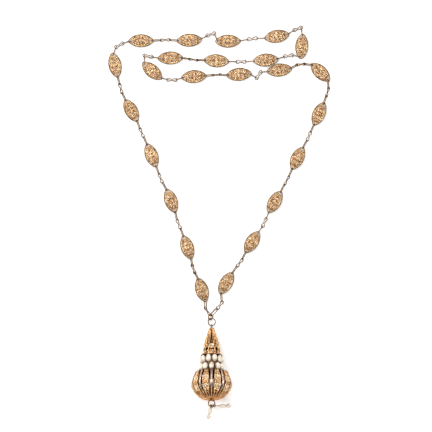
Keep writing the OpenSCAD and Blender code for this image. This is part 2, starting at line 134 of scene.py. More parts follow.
class ShapeTree(Net):
    """A geometry tree with named inputs, its geometry coming in and going out."""

    def __init__(self, name, inputs):
        super().__init__(bpy.data.node_groups.new(name, "GeometryNodeTree"))
        sockets = [("Geometry", "INPUT", "Geometry"), ("Geometry", "OUTPUT", "Geometry")]
        sockets += [(label, "INPUT", kind) for label, kind in inputs.items()]
        for label, way, kind in sockets:
            self.tree.interface.new_socket(label, in_out=way, socket_type=f"NodeSocket{kind}")
        self.entry = self.node("NodeGroupInput")

    def given(self, label):
        return Value(self, self.entry.outputs[label])

    def attribute(self, name, kind="FLOAT"):
        return self.add("GeometryNodeInputNamedAttribute", {"Name": name}, data_type=kind)

    def stored(self, shape, name, value, kind, domain):
        return self.add("GeometryNodeStoreNamedAttribute",
                        {"Geometry": shape, "Name": name, "Value": value}, data_type=kind, domain=domain)

    def join(self, *parts):
        return self.add("GeometryNodeJoinGeometry", {"Geometry": list(reversed(parts))})

    def from_object(self, label):
        return self.add("GeometryNodeObjectInfo", {"Object": self.given(label)}, out="Geometry")

    def moved(self, shape, offset):
        return self.add("GeometryNodeSetPosition", {"Geometry": shape, "Offset": offset})

    def swollen(self, shape, amount):
        """Moves every point out along its normal."""
        normal = self.add("GeometryNodeInputNormal")
        offset = self.add("ShaderNodeVectorMath", {"Vector": normal, "Scale": amount}, operation="SCALE")
        return self.moved(shape, offset)

    def placed(self, shape, axis, angle):
        """Turns a shape round an axis through its middle and moves it to its place."""
        turn = self.add("FunctionNodeAxisAngleToRotation", {"Axis": axis, "Angle": self.given(angle)})
        return self.add("GeometryNodeTransform", {
            "Geometry": shape, "Translation": self.given("Place"), "Rotation": turn})

    def wires(self, lines):
        """Round wire along every line, with the length along it kept for the beaded finish."""
        along = self.add("GeometryNodeSplineParameter", out="Length")
        curve = self.add("GeometryNodeMeshToCurve", {"Mesh": lines})
        curve = self.stored(curve, "along", along, "FLOAT", "POINT")
        circle = self.add("GeometryNodeCurvePrimitiveCircle",
                          {"Resolution": self.given("Wire Sides"), "Radius": 1.0})
        return self.add("GeometryNodeCurveToMesh", {
            "Curve": curve, "Profile Curve": circle, "Scale": self.attribute("thick"), "Fill Caps": True})

    def beads(self, points):
        """A small ball on every point."""
        ball = self.add("GeometryNodeMeshIcoSphere",
                        {"Radius": 1.0, "Subdivisions": self.given("Bead Detail")})
        spots = self.add("GeometryNodeMeshToPoints", {"Mesh": points})
        return self.add("GeometryNodeInstanceOnPoints", {
            "Points": spots, "Instance": ball, "Scale": self.attribute("size")})

    def finish(self, shape, materials):
        """Realizes the instances and sets the material of each finish."""
        shape = self.add("GeometryNodeRealizeInstances", {"Geometry": shape})
        shape = self.add("GeometryNodeSetShadeSmooth", {"Geometry": shape})
        first_whole, second_whole = 2, 3
        for finish, material in materials.items():
            numbers = {first_whole: self.attribute("finish", "INT"), second_whole: finish}
            same = self.add("FunctionNodeCompare", numbers, data_type="INT", operation="EQUAL")
            shape = self.add("GeometryNodeSetMaterial", {
                "Geometry": shape, "Selection": same, "Material": material})
        self.node("NodeGroupOutput", {"Geometry": shape})
        return self.tree


# Objects and pieces

def new_object(name, data):
    item = bpy.data.objects.new(name, data)
    bpy.context.scene.collection.objects.link(item)
    return item


def mesh_in_mm(name, places, edges=(), faces=()):
    mesh = bpy.data.meshes.new(name)
    mesh.from_pydata([Vector(place) * MM for place in places], edges, faces)
    return mesh


def store(mesh, name, kind, domain, values):
    mesh.attributes.new(name, kind, domain).data.foreach_set("value", values)


def store_finish(mesh, domain, values):
    store(mesh, "finish", "INT", domain, values)


@contextmanager
def edited(mesh):
    """A mesh opened for bmesh's tools, and written back at the end."""
    work = bmesh.new()
    work.from_mesh(mesh)
    yield work
    work.to_mesh(mesh)
    work.free()


def lines_object(name, lines):
    """Helper that holds centre lines as edges, with each one's wire radius and finish."""
    places, edges, thick, finish = [], [], [], []
    for line in lines:
        first, count = len(places), len(line.points)
        places += line.points
        edges += [(first + i, first + i + 1) for i in range(count - 1)]
        if line.closed:
            edges.append((first + count - 1, first))
        thick += [line.thick * MM] * count
        finish += [line.finish] * count
    mesh = mesh_in_mm(name, places, edges=edges)
    store(mesh, "thick", "FLOAT", "POINT", thick)
    store_finish(mesh, "POINT", finish)
    return new_object(name, mesh)


def beads_object(name, beads):
    """Helper that holds a point for each granule, with its radius."""
    mesh = mesh_in_mm(name, [bead.place for bead in beads])
    store(mesh, "size", "FLOAT", "POINT", [bead.size * MM for bead in beads])
    store_finish(mesh, "POINT", [BRIGHT] * len(beads))
    return new_object(name, mesh)


def solids_object(name, solids, sharp=35.0):
    """Helper of closed shapes, each given as vertices in mm, faces and their finish or finishes."""
    places, faces, finish = [], [], []
    for points, sides, kind in solids:
        first = len(places)
        places += points
        faces += [tuple(first + i for i in side) for side in sides]
        finish += kind if isinstance(kind, list) else [kind] * len(sides)
    mesh = mesh_in_mm(name, places, faces=faces)
    store_finish(mesh, "FACE", finish)
    with edited(mesh) as work:
        bmesh.ops.recalc_face_normals(work, faces=work.faces)
    mesh.set_sharp_from_angle(angle=math.radians(sharp))
    return new_object(name, mesh)


def merged_copy(node, name, near=0.002 * MM):
    """A helper with a CAD node's shape, its loose triangles joined into one skin."""
    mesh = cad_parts[node].data.copy()
    with edited(mesh) as work:
        bmesh.ops.remove_doubles(work, verts=work.verts, dist=near)
    mesh.materials.clear()
    return new_object(name, mesh)


def make_piece(name, source, tree, inputs, nodes):
    """Runs a tree on a helper and keeps the result as a plain piece in place of CAD nodes."""
    modifier = source.modifiers.new("shape", "NODES")
    modifier.node_group = tree
    sockets = {s.name: s.identifier for s in tree.interface.items_tree if s.in_out == "INPUT"}
    for label, value in inputs.items():
        modifier[sockets[label]] = value
    bpy.context.view_layer.update()
    graph = bpy.context.evaluated_depsgraph_get()
    mesh = bpy.data.meshes.new_from_object(
        source.evaluated_get(graph), preserve_all_data_layers=True, depsgraph=graph)
    source.modifiers.remove(modifier)
    if not mesh.polygons:
        raise RuntimeError(f"{name} came out empty")
    piece = new_object(name, mesh)
    mesh.name = name
    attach(piece, "root")
    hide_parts(*nodes)


def remove_helpers(*helpers):
    for helper in helpers:
        bpy.data.objects.remove(helper)


# Flat patterns

def polar(radius, degrees):
    return radius * math.cos(math.radians(degrees)), radius * math.sin(math.radians(degrees))


def circle(x, y, radius):
    """Points round a circle, with the first one again at the end."""
    count = max(3, round(2 * math.pi * radius / CIRCLE_STEP))
    spokes = [polar(radius, 360 * i / count) for i in range(count + 1)]
    return [(x + dx, y + dy, 0.0) for dx, dy in spokes]


def coil(x, y, outer, inner, start, sweep):
    """Points of a spiral from its outer radius to its inner one; angles in degrees."""
    count = max(6, round(math.radians(abs(sweep)) * (outer + inner) / 2 / COIL_STEP))
    points = []
    for i in range(count + 1):
        part = i / count
        dx, dy = polar(outer + (inner - outer) * part, start + sweep * part)
        points.append((x + dx, y + dy, 0.0))
    return points


def in_quarters(points):
    """The same points in all four quarters, mirrored over both axes."""
    return [[(sx * x, sy * y, z) for x, y, z in points] for sx in (1, -1) for sy in (1, -1)]


class Drawing:
    """Wires, granules and closed shapes gathered for one piece, in mm."""

    def __init__(self):
        self.lines, self.beads, self.solids = [], [], []

    def wire(self, points, thick, finish=WIRE):
        self.lines.append(Line(points, thick, False, finish))

    def ring(self, x, y, radius, thick, finish=WIRE):
        self.lines.append(Line(circle(x, y, radius)[:-1], thick, True, finish))

    def bar(self, start, end, thick):
        """A straight wire, with enough points to bend over a dome."""
        count = max(1, round(math.dist(start, end) / BAR_STEP))
        (x1, y1), (x2, y2) = start, end
        self.wire([(x1 + (x2 - x1) * i / count, y1 + (y2 - y1) * i / count, 0.0)
                   for i in range(count + 1)], thick)

    def bead(self, x, y, size):
        self.beads.append(Bead((x, y, 0.0), size))

    def flower(self, x, y, radius, petals, centre, thick):
        """A ring with granules in it round a larger one."""
        self.ring(x, y, radius, thick)
        self.bead(x, y, centre)
        for k in range(petals):
            dx, dy = polar((radius + centre) / 2, 360 * k / petals)
            self.bead(x + dx, y + dy, size=radius * 0.2)
        return self

    def rosette(self, radius, thick, granules=14):
        """A coiled flower: a rope ring, a coil in it, and granules round a large one."""
        self.ring(0, 0, radius, thick, BRIGHT)
        turns = coil(0, 0, outer=radius * 0.72, inner=radius * 0.34, start=20, sweep=480)
        self.wire(turns, thick * 0.8, BRIGHT)
        self.bead(0, 0, size=radius * 0.27)
        for k in range(granules):
            self.bead(*polar(radius * 0.86, 360 * k / granules), size=radius * 0.1)
        return self


def section_faces(count, rows, closed=True):
    """Faces between sections of equal numbers of points: a closed ring, or a bar with two ends."""
    faces = [(i * rows + j, (i + 1) % count * rows + j,
              (i + 1) % count * rows + (j + 1) % rows, i * rows + (j + 1) % rows)
             for i in range(count if closed else count - 1) for j in range(rows)]
    if not closed:
        faces += [tuple(range(rows)), tuple((count - 1) * rows + j for j in reversed(range(rows)))]
    return faces


# Plaques

# Distance in from the plaque's outline, and share of the dome's height there, over the upper half
RIM_UPPER = [(0.0, 0.5), (0.07, 0.72), (0.2, 0.9), (0.42, 1.0), (0.62, 0.98), (0.78, 0.88), (0.84, 0.7)]
RIM_SECTION = RIM_UPPER + [(inset, -share) for inset, share in reversed(RIM_UPPER)]
# Inset of the border's highest line, width of its outer edge, which is darkened with painted shade, and
# of the wall beside a lug
RIM_CROWN, PAINTED_SHADE_EDGE_WIDTH, END_WALL = 0.42, 0.7, 0.5


class Navette:
    """The plaque's outline and its domed face, as in the part's source, in mm."""

    def __init__(self, sizes):
        self.half_width, self.depth = sizes.width / MM / 2, sizes.depth / MM
        self.lug, self.lug_half = sizes.lug_radius / MM, sizes.lug_thickness / MM / 2
        self.hole = sizes.lug_hole / MM / 2
        self.reach = sizes.length / MM / 2 - self.lug
        self.side = (self.reach ** 2 + self.half_width ** 2 - self.lug ** 2) / (
            2 * self.half_width - 2 * self.lug)
        self.side_centre = self.side - self.half_width
        self.tip = math.degrees(math.atan2(self.side_centre, self.reach))
        lug_margin = 0.4
        self.lug_start = self.reach - self.hole - lug_margin
        self.along, self.across = sizes.dome_along / MM, sizes.dome_across / MM

    def width_at(self, x, inset):
        """Half the width at one place along the plaque, less an inset."""
        return math.sqrt((self.side - inset) ** 2 - x * x) - self.side_centre

    def outline(self, inset, tip_steps=10, side_steps=26):
        """Points round the plaque at an inset: one lug's end and a long side, then the others."""
        points = []
        for turn, end in ((0, 1), (180, -1)):
            for k in range(tip_steps + 1):
                dx, dy = polar(self.lug - inset, turn + self.tip * (2 * k / tip_steps - 1))
                points.append((end * self.reach + dx, dy))
            for k in range(1, side_steps):
                dx, dy = polar(self.side - inset,
                               turn + self.tip + (180 - 2 * self.tip) * k / side_steps)
                points.append((dx, -end * self.side_centre + dy))
        return points

    def height(self, x, y):
        """Height of the domed face over the plaque's middle plane."""
        out = self.along - self.across + math.sqrt(self.across ** 2 - y * y)
        return self.depth / 2 - self.along + math.sqrt(out * out - x * x)

    def rim_height(self, x, y, run=0.7):
        """Height of the border, which sinks from the dome to the flat lug over a short run."""
        share = min(1.0, max(0.0, (abs(x) - self.lug_start + END_WALL) / run))
        share = share * share * (3 - 2 * share)
        return self.height(x, y) * (1 - share) + self.lug_half * share

    def lug_edge(self, degrees, inset=0.5):
        """Distance from a lug's middle to the edge of its plate; 0 degrees is outwards."""
        dx, dy = polar(1, degrees)
        if math.cos(math.radians(degrees)) >= math.cos(math.radians(self.tip)):
            return self.lug - inset
        along = self.reach * dx + self.side_centre * abs(dy)
        apart = self.reach ** 2 + self.side_centre ** 2 - (self.side - inset) ** 2
        edge = math.sqrt(along ** 2 - apart) - along
        return min(edge, (self.reach - self.lug_start) / -dx) if dx < 0 else edge


def plaque_rim(navette):
    """The polished border all round, the flat plate of each lug, and the wall beside it."""
    loops = [navette.outline(inset) for inset, share in RIM_SECTION]
    crown = navette.outline(RIM_CROWN)
    count, rows = len(crown), len(RIM_SECTION)
    points = [(*loops[j][i], RIM_SECTION[j][1] * navette.rim_height(*crown[i]))
              for i in range(count) for j in range(rows)]
    reach = [max(RIM_SECTION[j][0], RIM_SECTION[(j + 1) % rows][0]) for j in range(rows)]
    # Sections near the outline take the edge finish, a dark gold that is painted shade
    finishes = [EDGE if inset < PAINTED_SHADE_EDGE_WIDTH else BAND for inset in reach] * count
    solids = [(points, section_faces(count, rows), finishes)]
    for side in (1, -1):
        solids += [lug_plate(navette, side), end_wall(navette, side)]
    return solids


def lug_plate(navette, side, steps=40):
    """A flat plate round the hole, out to the border and the end wall."""
    half, hole = navette.lug_half, navette.hole
    worn_in, worn_down = 0.12, 0.1
    points = []
    for k in range(steps):
        angle = 360 * k / steps
        edge = navette.lug_edge(angle)
        profile = [(hole, worn_down - half), (hole, half - worn_down), (hole + worn_in, half),
                   (edge, half), (edge, -half), (hole + worn_in, -half)]
        for reach, high in profile:
            dx, dy = polar(reach, angle)
            points.append((side * (navette.reach + dx), side * dy, high))
    return points, section_faces(steps, 6), PLATE


def end_wall(navette, side, steps=10):
    """The bar across the plaque where the dome ends."""
    near, far = navette.lug_start - END_WALL, navette.lug_start
    side_inset, top_inset = 0.6, 0.04
    points = []
    for k in range(steps + 1):
        for x, sign in ((near, -1), (near, 1), (far, 1), (far, -1)):
            y = navette.width_at(x, side_inset) * (2 * k / steps - 1)
            points.append((side * x, y, sign * (navette.height(x, y) - top_inset)))
    return points, section_faces(steps + 1, 4, closed=False), PLATE


def plaque_backing(navette, flatten=0.74, side_inset=0.5, end_inset=0.2):
    """The CAD plaque's own pierced walls, drawn in under the wires and the border, in dark gold that is
    painted shade between the wires.
    """
    middle, heading = lying_place(PLAQUES[0])
    helper = merged_copy(PLAQUES[0], "plaque_backing")
    helper.data.transform(Matrix.Rotation(-heading, 4, "Z") @ Matrix.Translation(-middle))
    with edited(helper.data) as work:
        for vertex in work.verts:
            x = vertex.co.x / MM
            if abs(x) < navette.lug_start:
                limit = navette.width_at(x, side_inset) * MM
                vertex.co.y = max(-limit, min(limit, vertex.co.y))
            vertex.co.z *= flatten
        end = (navette.lug_start - end_inset) * MM
        lugs = [face for face in work.faces if abs(face.calc_center_median().x) > end]
        bmesh.ops.delete(work, geom=lugs, context="FACES")
    # The dark finish on the backing is painted shade between the wires
    store_finish(helper.data, "FACE", [PAINTED_SHADE] * len(helper.data.polygons))
    return helper


def draw_edges(drawing, navette, thick):
    """What every plaque has: a rope and granules along the border, flowers, end scrolls."""
    rope_inset, rope_reach, rope_parts = 1.0, 5.6, 19
    granule_inset, granule_size, granule_spacing = 1.45, 0.32, 1.0
    flower_along, flower_across, end_granule = 2.7, 1.5, 5.1
    for side in (1, -1):
        xs = [rope_reach * k / rope_parts for k in range(-rope_parts, rope_parts + 1)]
        drawing.wire([(x, side * navette.width_at(x, rope_inset), 0.0) for x in xs], thick)
        for x in (granule_spacing * k for k in range(-5, 6)):
            drawing.bead(x, side * navette.width_at(x, granule_inset), granule_size)
        drawing.bead(side * end_granule, 0, size=0.34)
        for across in (1, -1):
            drawing.flower(side * flower_along, across * flower_across, radius=1.15, petals=5,
                           centre=0.48, thick=thick * 1.1)
    for points in in_quarters(coil(4.6, 0.85, outer=0.72, inner=0.3, start=150, sweep=-420)):
        drawing.wire(points, thick * 1.1)


def draw_flower(drawing, thick):
    """A flower in the middle, with double bars across and single ones along."""
    radius, gap, across_start, across_end, along_end = 1.15, 0.3, 1.1, 3.5, 3.9
    drawing.flower(0, 0, radius, petals=6, centre=0.5, thick=thick * 1.2)
    for side in (1, -1):
        for x in (-gap, gap):
            drawing.bar((x, side * across_start), (x, side * across_end), thick * 1.2)
        drawing.bar((side * radius, 0), (side * along_end, 0), thick * 1.2)
        drawing.bead(side * (along_end + 0.05), 0, size=0.3)
    for points in in_quarters(circle(1.35, 2.75, radius=0.5)):
        drawing.wire(points, thick)


def draw_cross(drawing, thick):
    """Two crossing diagonals through the middle, with a granule in each corner."""
    gap, lean, across_end, corner_across, corner_along = 0.28, 1.75, 3.3, 2.6, 1.5
    along_start, along_end = 1.6, 4.0
    drawing.bead(0, 0, size=0.55)
    for side in (1, -1):
        for x in (-gap, gap):
            drawing.bar((x - lean, side * -across_end), (x + lean, side * across_end), thick * 1.25)
        drawing.bead(0, side * corner_across, size=0.42)
        drawing.bead(side * corner_along, 0, size=0.36)
        drawing.ring(0, side * corner_across, radius=0.75, thick=thick)
        drawing.bar((side * along_start, 0), (side * along_end, 0), thick * 1.2)


def draw_bars(drawing, thick):
    """Rows of bars across the middle, with granules between them."""
    outer, inner, across_end, along_start, along_end, spacing = 0.95, 0.45, 3.3, 1.1, 3.9, 0.75
    for x in (-outer, -inner, inner, outer):
        drawing.bar((x, -across_end), (x, across_end), thick * 1.15)
    for side in (1, -1):
        drawing.bar((side * along_start, 0), (side * along_end, 0), thick * 1.2)
    for k in range(-4, 5):
        drawing.bead(0, spacing * k, size=0.36)


PATTERNS = (draw_flower, draw_cross, draw_bars)
# Which pattern each plaque has, from the small ring round the whole chain
PATTERN_ORDER = (0, 2, 0, 1, 0, 2, 0, 1, 0, 2, 1, 0, 2, 0, 1, 0, 2, 0, 1, 0, 2, 0, 1, 0)


def plaque_tree(materials, sunk=0.85):
    """Bends a flat pattern over the dome, wires and beads it on both faces, and lays it down."""
    tree = ShapeTree("filigree plaque", {
        "Granules": "Object", "Rim": "Object", "Backing": "Object", "Wire Sides": "Int",
        "Bead Detail": "Int", "Depth": "Float", "Dome Along": "Float", "Dome Across": "Float",
        "Heading": "Float", "Place": "Vector"})
    place = tree.add("GeometryNodeInputPosition")
    x, y = [tree.add("ShaderNodeSeparateXYZ", {"Vector": place}, out=axis) for axis in "XY"]
    along, across = tree.given("Dome Along"), tree.given("Dome Across")
    out = (across * across - y * y).root() + (along - across)
    height = (out * out - x * x).root() + (tree.given("Depth") * 0.5 - along)

    def domed(shape, size):
        lift = height - tree.attribute(size) * sunk
        return tree.moved(shape, tree.add("ShaderNodeCombineXYZ", {"Z": lift}))

    face = tree.join(tree.wires(domed(tree.given("Geometry"), "thick")),
                     tree.beads(domed(tree.from_object("Granules"), "size")))
    face = tree.add("GeometryNodeRealizeInstances", {"Geometry": face})
    face = tree.stored(face, "finish", tree.attribute("finish", "INT"), "INT", "FACE")
    under = tree.add("GeometryNodeTransform", {"Geometry": face, "Scale": (1, 1, -1)})
    under = tree.add("GeometryNodeFlipFaces", {"Mesh": under})
    whole = tree.join(face, under, tree.from_object("Rim"), tree.from_object("Backing"))
    return tree.finish(tree.placed(whole, (0, 0, 1), "Heading"), materials)


def lying_place(node):
    """Middle and heading of a plaque, from its CAD node: the long axis of its vertices."""
    low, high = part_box(node)
    middle = (Vector(low) + Vector(high)) / 2
    xx = yy = xy = 0.0
    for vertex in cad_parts[node].data.vertices:
        dx, dy = vertex.co.x - middle.x, vertex.co.y - middle.y
        xx, yy, xy = xx + dx * dx, yy + dy * dy, xy + dx * dy
    return middle, math.atan2(2 * xy, xx - yy) / 2


# Pendant

# The side that faces up, in degrees round the axis, and the number of ribs and of strips
FRONT, SECTORS = -90.0, 10
SECTOR = 360.0 / SECTORS
# Section of a strip: shares of its width across and of its depth outwards
STRIP_SECTION = [(-0.5, -1.0), (-0.5, -0.25), (-0.36, 0.0), (0.0, 0.12), (0.36, 0.0), (0.5, -0.25),
                 (0.5, -1.0)]


class Turned:
    """A turned surface of the pendant: its radius at each height, and points on its skin."""

    def __init__(self, outline):
        self.outline = outline

    def at(self, degrees, height, lift):
        return (*polar(self.outline(height) + lift, degrees), height)

    def lay(self, drawing, flat, degrees, height, lift):
        """Adds a flat drawing's wires and granules to another, laid on the skin round one place."""
        near = 0.1
        slope = (self.outline(height + near) - self.outline(height - near)) / (2 * near)

        def patch(place):
            high = height + place[1] / math.hypot(1, slope)
            return self.at(degrees + math.degrees(place[0] / self.outline(high)), high, lift)

        drawing.lines += [line._replace(points=[patch(p) for p in line.points]) for line in flat.lines]
        drawing.beads += [bead._replace(place=patch(bead.place)) for bead in flat.beads]

    def meridian(self, degrees, top, bottom, lift, spread=None, side=1):
        """Points down the skin; spread gives their angle beside the meridian at each height."""
        count = max(3, round(abs(top - bottom) / MERIDIAN_STEP))
        heights = [top + (bottom - top) * k / count for k in range(count + 1)]
        return [self.at(degrees + (side * spread(high) if spread else 0), high, lift)
                for high in heights]

    def band(self, degrees, top, bottom, width, depth, finish=BAND, lift=0.0, steps=28):
        """A flat strip down the skin with rounded edges; width is a function of the height."""
        points = []
        for k in range(steps + 1):
            high = top + (bottom - top) * k / steps
            for across, deep in STRIP_SECTION:
                turn = math.degrees(across * width(high) / self.outline(high))
                points.append(self.at(degrees + turn, high, lift + deep * depth))
        return points, section_faces(steps + 1, len(STRIP_SECTION), closed=False), finish

    def hoop(self, height, thick, lift, steps, finish=WIRE):
        return Line([self.at(360 * k / steps, height, lift) for k in range(steps)], thick, True, finish)


def pendant_turn(sizes):
    """Angle about X that lays the upright pendant down, with its rings lowest."""
    return -math.pi / 2 - sizes.lean


def turned_solid(profile, steps, finish):
    """A closed ring turned round Z from a closed profile of radius and height."""
    points = [(*polar(radius, 360 * i / steps), height)
              for i in range(steps) for radius, height in profile]
    return points, section_faces(steps, len(profile)), finish


def bulb_surface(sizes):
    """The bulb, as in the part's source: a drawn-in shoulder over a rounded foot."""
    radius = sizes.bulb_diameter / MM / 2
    shoulder_height, shoulder_draw, shoulder_power = 11.4, 0.284, 1.32
    foot_depth, foot_power = 11.7, 1.85

    def outline(high):
        if high > 0:
            return radius * (1 - shoulder_draw * (high / shoulder_height) ** shoulder_power)
        return radius * max(0.0, 1 - (-high / foot_depth) ** foot_power) ** (1 / foot_power)
    return Turned(outline)


def cone_surface(sizes, bulge=1.22):
    """The cone, as in the part's source: a bell that narrows to its tip."""
    tip, base = sizes.cone_tip / MM / 2, sizes.cone_base / MM / 2
    start, length = sizes.cone_start / MM, sizes.cone_length / MM

    def outline(high):
        part = min(1.0, max(0.0, (start + length - high) / length))
        return tip + (base - tip) * math.sin(math.radians(90 * part)) ** bulge
    return Turned(outline)


def draw_bulb(sizes):
    """Plain ribs, framed strips with rosettes between them, and lower ribs that meet at the foot."""
    skin, drawing = bulb_surface(sizes), Drawing()
    upper, lower = sizes.upper_rosette / MM, sizes.lower_rosette / MM
    radius, top = sizes.rosette_diameter / MM / 2, sizes.bulb_rise / MM
    shoulder, rib_end, strip_end, frame_end, lower_end, foot = 5.0, -5.6, -6.9, -8.6, -10.3, -10.38
    bend, short_end, long_end = 4.6, 3.4, 2.0
    # Height and size of each granule down a strip
    granules = ((4.9, 0.5), (6.0, 0.4), (7.0, 0.34), (-1.3, 0.42), (-7.9, 0.4))

    def rib_width(high):
        """Width of a plain rib, which grows from the top down to the widest line."""
        narrow, growth, run = 1.25, 0.4, 10.0
        return narrow + growth * min(1.0, (top - high) / run)

    def frame_spread(high):
        """Half the angle of a strip: wide at the rosettes, drawn in between and above them."""
        widest, drawn_in, run, taper = 9.4, 2.9, 3.3, 0.35
        away = min(1.0, min(abs(high - upper), abs(high - lower)) / run)
        return widest - drawn_in * away * away - max(0.0, high - shoulder) * taper

    def strip_width(high):
        """Width of a strip in mm, just inside the wires of its frame."""
        share = 0.94
        return 2 * math.radians(frame_spread(high)) * skin.outline(high) * share

    def inner_spread(high):
        """Half the angle between the two wires above the upper rosette."""
        at_middle, taper = 5.5, 0.4
        return at_middle - high * taper

    for k in range(SECTORS):
        rib = FRONT + SECTOR * k
        strip = rib + SECTOR / 2
        drawing.solids += [
            skin.band(rib, top - 0.3, rib_end, rib_width, depth=0.75),
            skin.band(strip, top - 0.4, strip_end, strip_width, depth=0.3, finish=PLATE, lift=-0.42)]
        for side in (1, -1):
            drawing.wire(skin.meridian(strip, top - 0.3, frame_end, lift=-0.3,
                                       spread=frame_spread, side=side), thick=0.3)
            drawing.wire(skin.meridian(strip, top - 0.4, shoulder, lift=-0.28,
                                       spread=inner_spread, side=side), thick=0.26)
        for high, scale in ((upper, 0.95), (lower, 1.0)):
            skin.lay(drawing, Drawing().rosette(radius * scale, thick=0.28), strip, high, lift=-0.2)
        drawing.beads += [Bead(skin.at(strip, high, lift=-0.3), size) for high, size in granules]
    for k in range(3 * SECTORS):
        turn = FRONT + SECTOR / 3 * k
        rib = skin.meridian(turn, rib_end + 0.3, lower_end, lift=-0.42)
        rib += [(*polar(reach, turn), foot) for reach in (bend, short_end if k % 2 else long_end)]
        drawing.wire(rib, thick=0.4, finish=COPPER)
    # A ring in the dark finish round the bulb's top: painted shade under the pearls
    drawing.lines.append(skin.hoop(top - 0.4, thick=0.36, lift=-0.36, steps=96, finish=PAINTED_SHADE))
    boss = [(1.2, -10.76), (1.9, -10.74), (2.2, -10.5), (2.2, -10.0), (1.2, -10.0)]
    drawing.solids.append(turned_solid(boss, steps=32, finish=COPPER))
    return drawing


def draw_cone(sizes):
    """Arches with a rosette and a flower in each, windows between them, and a rounded tip."""
    skin, drawing = cone_surface(sizes), Drawing()
    start, length = sizes.cone_start / MM, sizes.cone_length / MM
    end, tip = start + length, skin.outline(start + length)
    flower_high, rosette_high, granule_high, window_high = 1.6, 5.9, 9.4, 3.7
    bar_high, bar_spread = 7.6, 9.0
    window_half, window_reach, window_points, scroll_high = 1.45, 1.95, 26, 3.0

    def arch_spread(high):
        """Half the angle of the pointed arch round each rosette."""
        at_tip, widening, flare, flare_start = 13.0, 4.0, 8.0, 0.6
        down = (end - high) / length
        return at_tip + widening * down + flare * max(0.0, (down - flare_start) / (1 - flare_start))

    granule, window = Drawing(), Drawing()
    granule.bead(0, 0, size=0.4)
    turns = [2 * math.pi * n / window_points for n in range(window_points)]
    oval = [(window_half * math.cos(a), window_reach * math.sin(a), 0) for a in turns]
    window.lines.append(Line(oval, thick=0.26, closed=True))
    window.ring(0, scroll_high, radius=0.75, thick=0.24)
    window.bead(0, scroll_high, size=0.36)
    flower = Drawing().flower(0, 0, radius=1.35, petals=6, centre=0.55, thick=0.26)
    rosette = Drawing().rosette(radius=1.5, thick=0.26)
    for k in range(SECTORS // 2):
        middle = FRONT + 2 * SECTOR * k
        between = middle + SECTOR
        for side in (1, -1):
            drawing.wire(skin.meridian(middle, end - 0.4, start + 0.4, lift=-0.32,
                                       spread=arch_spread, side=side), thick=0.34)
            drawing.wire(skin.meridian(between + side * bar_spread, end - 0.5, start + bar_high,
                                       lift=-0.4), thick=0.38)
        for high, flat in ((rosette_high, rosette), (flower_high, flower), (granule_high, granule)):
            skin.lay(drawing, flat, middle, start + high, lift=-0.22)
        skin.lay(drawing, window, between, start + window_high, lift=-0.25)
    drawing.lines.append(skin.hoop(start + 0.42, thick=0.4, lift=-0.4, steps=72))
    bore = 0.9
    cap = [(bore, end - 0.05), (tip - 0.5, end), (tip - 0.1, end - 0.25), (tip + 0.02, end - 0.8),
           (tip - 0.1, end - 1.2), (tip - 0.8, end - 1.3), (bore, end - 1.3)]
    drawing.solids.append(turned_solid(cap, steps=40, finish=BAND))
    return drawing


def pendant_tree(materials):
    """Wires, beads and solid strips of the pendant, turned to the pendant's axis."""
    tree = ShapeTree("pendant filigree", {
        "Granules": "Object", "Strips": "Object", "Liner": "Object", "Wire Sides": "Int",
        "Bead Detail": "Int", "Lean": "Float", "Place": "Vector"})
    shape = tree.join(tree.wires(tree.given("Geometry")), tree.beads(tree.from_object("Granules")),
                      tree.from_object("Strips"))
    shape = tree.placed(shape, (1, 0, 0), "Lean")
    return tree.finish(tree.join(shape, tree.from_object("Liner")), materials)


def liner(node, name, sizes, end_inset=0.4, spindle_radius=1.2, least_radius=1.0):
    """The CAD shell drawn in a little under the wires, so that its piercings stay; its dark gold is
    painted shade inside the hollow pendant.
    """
    helper = merged_copy(node, name)
    turn = Matrix.Rotation(pendant_turn(sizes), 4, "X")
    from_axis = Matrix.Translation(Vector(sizes.bulb_middle)) @ turn
    helper.data.transform(from_axis.inverted())
    heights = [vertex.co.z for vertex in helper.data.vertices]
    low, high = min(heights) + end_inset * MM, max(heights) - end_inset * MM
    for vertex in helper.data.vertices:
        vertex.co.z = max(low, min(high, vertex.co.z))
        radius = math.hypot(vertex.co.x, vertex.co.y)
        if radius > spindle_radius * MM:
            scale = 1 - min(sizes.liner_depth, radius - least_radius * MM) / radius
            vertex.co.x *= scale
            vertex.co.y *= scale
    helper.data.transform(from_axis)
    # The dark finish on the shell is painted shade inside the bulb and the cone
    store_finish(helper.data, "FACE", [PAINTED_SHADE] * len(helper.data.polygons))
    return helper


# Wire links and pearls

def link_copy(node):
    """A link node's shape, with its triangles joined in pairs so that it smooths evenly."""
    helper = merged_copy(node, f"{node}_copy")
    with edited(helper.data) as work:
        bmesh.ops.join_triangles(work, faces=work.faces, angle_face_threshold=0.6,
                                 angle_shape_threshold=0.9)
    return helper


def round_wire_tree(material):
    """Turns five-sided links into round wire, and grows it by what the smoothing takes off."""
    tree = ShapeTree("round wire links", {"Levels": "Int", "Grow": "Float"})
    shape = tree.add("GeometryNodeSubdivisionSurface",
                     {"Mesh": tree.given("Geometry"), "Level": tree.given("Levels")})
    return tree.finish(tree.swollen(shape, tree.given("Grow")), {WIRE: material})


def baroque_tree(material, level=0.62):
    """Makes a smooth pearl slightly uneven; the skin stays in place where the noise has the level."""
    tree = ShapeTree("uneven pearls", {"Amount": "Float", "Grain": "Float"})
    unevenness = tree.add("ShaderNodeTexNoise", {
        "Vector": tree.add("GeometryNodeInputPosition"), "Scale": tree.given("Grain"), "Detail": 1.0})
    shape = tree.swollen(tree.given("Geometry"), (unevenness - level) * tree.given("Amount"))
    return tree.finish(shape, {WIRE: material})


# Materials

# Grain of the tarnish's patches, of the polish and of a pearl's three patterns, per metre
TARNISH_GRAIN, POLISH_GRAIN = 630.0, 1820.0
TINT_GRAIN, LUSTRE_GRAIN, SKIN_GRAIN = 420.0, 900.0, 1400.0

